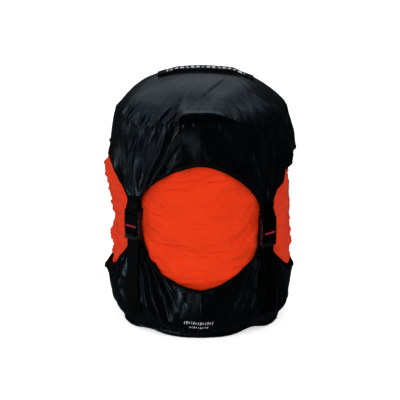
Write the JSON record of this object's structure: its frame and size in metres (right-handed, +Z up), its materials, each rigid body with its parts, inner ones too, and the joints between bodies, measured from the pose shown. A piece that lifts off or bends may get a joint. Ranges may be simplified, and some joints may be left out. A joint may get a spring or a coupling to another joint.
{
  "type": "compression sack",
  "caption": "Stuffed round drawcord sack squeezed between a domed top cap and a bottom cap by webbing straps with ladder locks at the caps' arms, with a grab handle on the lid.",
  "frame": {"origin": "middle of the base panel's underside, on the floor", "axes": "+Z up along the sack's own axis, -Y is the front, +X is to the right seen from the front; the straps stand at 45 degrees to the axes"},
  "size_m": [0.1843, 0.1844, 0.2559],
  "materials": {
    "black_nylon": "thin plain-weave coated nylon, slight sheen",
    "black_binding_tape": "folded binding tape, matte",
    "black_webbing": "ribbed 15 mm webbing, matte",
    "black_acetal": "moulded acetal, satin",
    "orange_nylon": "thin plain-weave nylon, slight sheen",
    "packed_filling": "compressed filling",
    "red_thread": "woven coloured line",
    "spring_steel": "round spring wire"
  },
  "bodies": {
    "base": {"base_panel": "black_nylon", "base_seam_welt": "black_binding_tape", "bottom_skirt_front_left": "black_nylon", "bottom_skirt_front_right": "black_nylon", "bottom_skirt_back_right": "black_nylon", "bottom_skirt_back_left": "black_nylon", "bottom_binding_front": "black_binding_tape", "bottom_binding_right": "black_binding_tape", "bottom_binding_back": "black_binding_tape", "bottom_binding_left": "black_binding_tape", "strap_front_left": "black_webbing", "strap_front_right": "black_webbing", "strap_back_right": "black_webbing", "strap_back_left": "black_webbing", "packed_load": "packed_filling", "sack_wall": "orange_nylon", "sack_base_panel": "orange_nylon"},
    "sack_mouth": {"mouth_hem": "orange_nylon", "drawcord": "black_webbing", "cord_lock_barrel": "black_acetal", "cord_lock_spring": "spring_steel"},
    "top_cap": {"lid_panel": "black_nylon", "lid_seam_welt": "black_binding_tape", "top_skirt_front_left": "black_nylon", "top_skirt_front_right": "black_nylon", "top_skirt_back_right": "black_nylon", "top_skirt_back_left": "black_nylon", "top_binding_front": "black_binding_tape", "top_binding_right": "black_binding_tape", "top_binding_back": "black_binding_tape", "top_binding_left": "black_binding_tape", "buckle_loop_front_left": "black_webbing", "buckle_loop_front_right": "black_webbing", "buckle_loop_back_right": "black_webbing", "buckle_loop_back_left": "black_webbing", "handle_tab_right": "black_webbing", "handle_tab_left": "black_webbing"},
    "handle": {"grab_handle": "black_webbing"},
    "cord_lock_button": {"cord_lock_plunger": "black_acetal"},
    "lock_front_left": {"ladder_lock_front_left": "black_acetal", "strap_turn_front_left": "black_webbing", "red_marker_front_left": "red_thread"},
    "tail_front_left": {"strap_tail_front_left": "black_webbing"},
    "lock_front_right": {"ladder_lock_front_right": "black_acetal", "strap_turn_front_right": "black_webbing", "red_marker_front_right": "red_thread"},
    "tail_front_right": {"strap_tail_front_right": "black_webbing"},
    "lock_back_right": {"ladder_lock_back_right": "black_acetal", "strap_turn_back_right": "black_webbing", "red_marker_back_right": "red_thread"},
    "tail_back_right": {"strap_tail_back_right": "black_webbing"},
    "lock_back_left": {"ladder_lock_back_left": "black_acetal", "strap_turn_back_left": "black_webbing", "red_marker_back_left": "red_thread"},
    "tail_back_left": {"strap_tail_back_left": "black_webbing"}
  },
  "joints": [
    {"name": "cap_lift", "type": "slide", "parent": "base", "child": "top_cap", "axis": [0, 0, 1], "range_m": [0, 0.055], "deforming": ["strap_front_left", "strap_front_right", "strap_back_right", "strap_back_left", "sack_wall"]},
    {"name": "mouth_rise", "type": "slide", "parent": "base", "child": "sack_mouth", "axis": [0, 0, 1], "range_m": [0, 0.055]},
    {"name": "handle_lift", "type": "slide", "parent": "top_cap", "child": "handle", "axis": [0, 0, 1], "range_m": [0, 0.006]},
    {"name": "cord_lock_press", "type": "slide", "parent": "sack_mouth", "child": "cord_lock_button", "axis": [0, 0, -1], "range_m": [0, 0.0016], "stiffness_N_per_m": 300, "springref_m": -0.004, "deforming": ["cord_lock_spring"]},
    {"name": "lock_tilt_front_left", "type": "hinge", "parent": "top_cap", "child": "lock_front_left", "pos_m": [-0.06569, -0.06569, 0.1264], "axis": [-0.7071, 0.7071, 0], "range_deg": [0, 40]},
    {"name": "tail_hang_front_left", "type": "hinge", "parent": "lock_front_left", "child": "tail_front_left", "pos_m": [-0.06513, -0.06513, 0.0983], "axis": [-0.7071, 0.7071, 0], "range_deg": [-40, 0]},
    {"name": "lock_tilt_front_right", "type": "hinge", "parent": "top_cap", "child": "lock_front_right", "pos_m": [0.06569, -0.06569, 0.1194], "axis": [-0.7071, -0.7071, 0], "range_deg": [0, 40]},
    {"name": "tail_hang_front_right", "type": "hinge", "parent": "lock_front_right", "child": "tail_front_right", "pos_m": [0.06513, -0.06513, 0.0913], "axis": [-0.7071, -0.7071, 0], "range_deg": [-40, 0]},
    {"name": "lock_tilt_back_right", "type": "hinge", "parent": "top_cap", "child": "lock_back_right", "pos_m": [0.06569, 0.06569, 0.1224], "axis": [0.7071, -0.7071, 0], "range_deg": [0, 40]},
    {"name": "tail_hang_back_right", "type": "hinge", "parent": "lock_back_right", "child": "tail_back_right", "pos_m": [0.06513, 0.06513, 0.0943], "axis": [0.7071, -0.7071, 0], "range_deg": [-40, 0]},
    {"name": "lock_tilt_back_left", "type": "hinge", "parent": "top_cap", "child": "lock_back_left", "pos_m": [-0.06569, 0.06569, 0.1234], "axis": [0.7071, 0.7071, 0], "range_deg": [0, 40]},
    {"name": "tail_hang_back_left", "type": "hinge", "parent": "lock_back_left", "child": "tail_back_left", "pos_m": [-0.06513, 0.06513, 0.0953], "axis": [0.7071, 0.7071, 0], "range_deg": [-40, 0]}
  ],
  "couplings": [
    {"joint": "mouth_rise", "follows": "cap_lift", "ratio": 1},
    {"joint": "tail_hang_front_left", "follows": "lock_tilt_front_left", "ratio": -1},
    {"joint": "tail_hang_front_right", "follows": "lock_tilt_front_right", "ratio": -1},
    {"joint": "tail_hang_back_right", "follows": "lock_tilt_back_right", "ratio": -1},
    {"joint": "tail_hang_back_left", "follows": "lock_tilt_back_left", "ratio": -1}
  ]
}
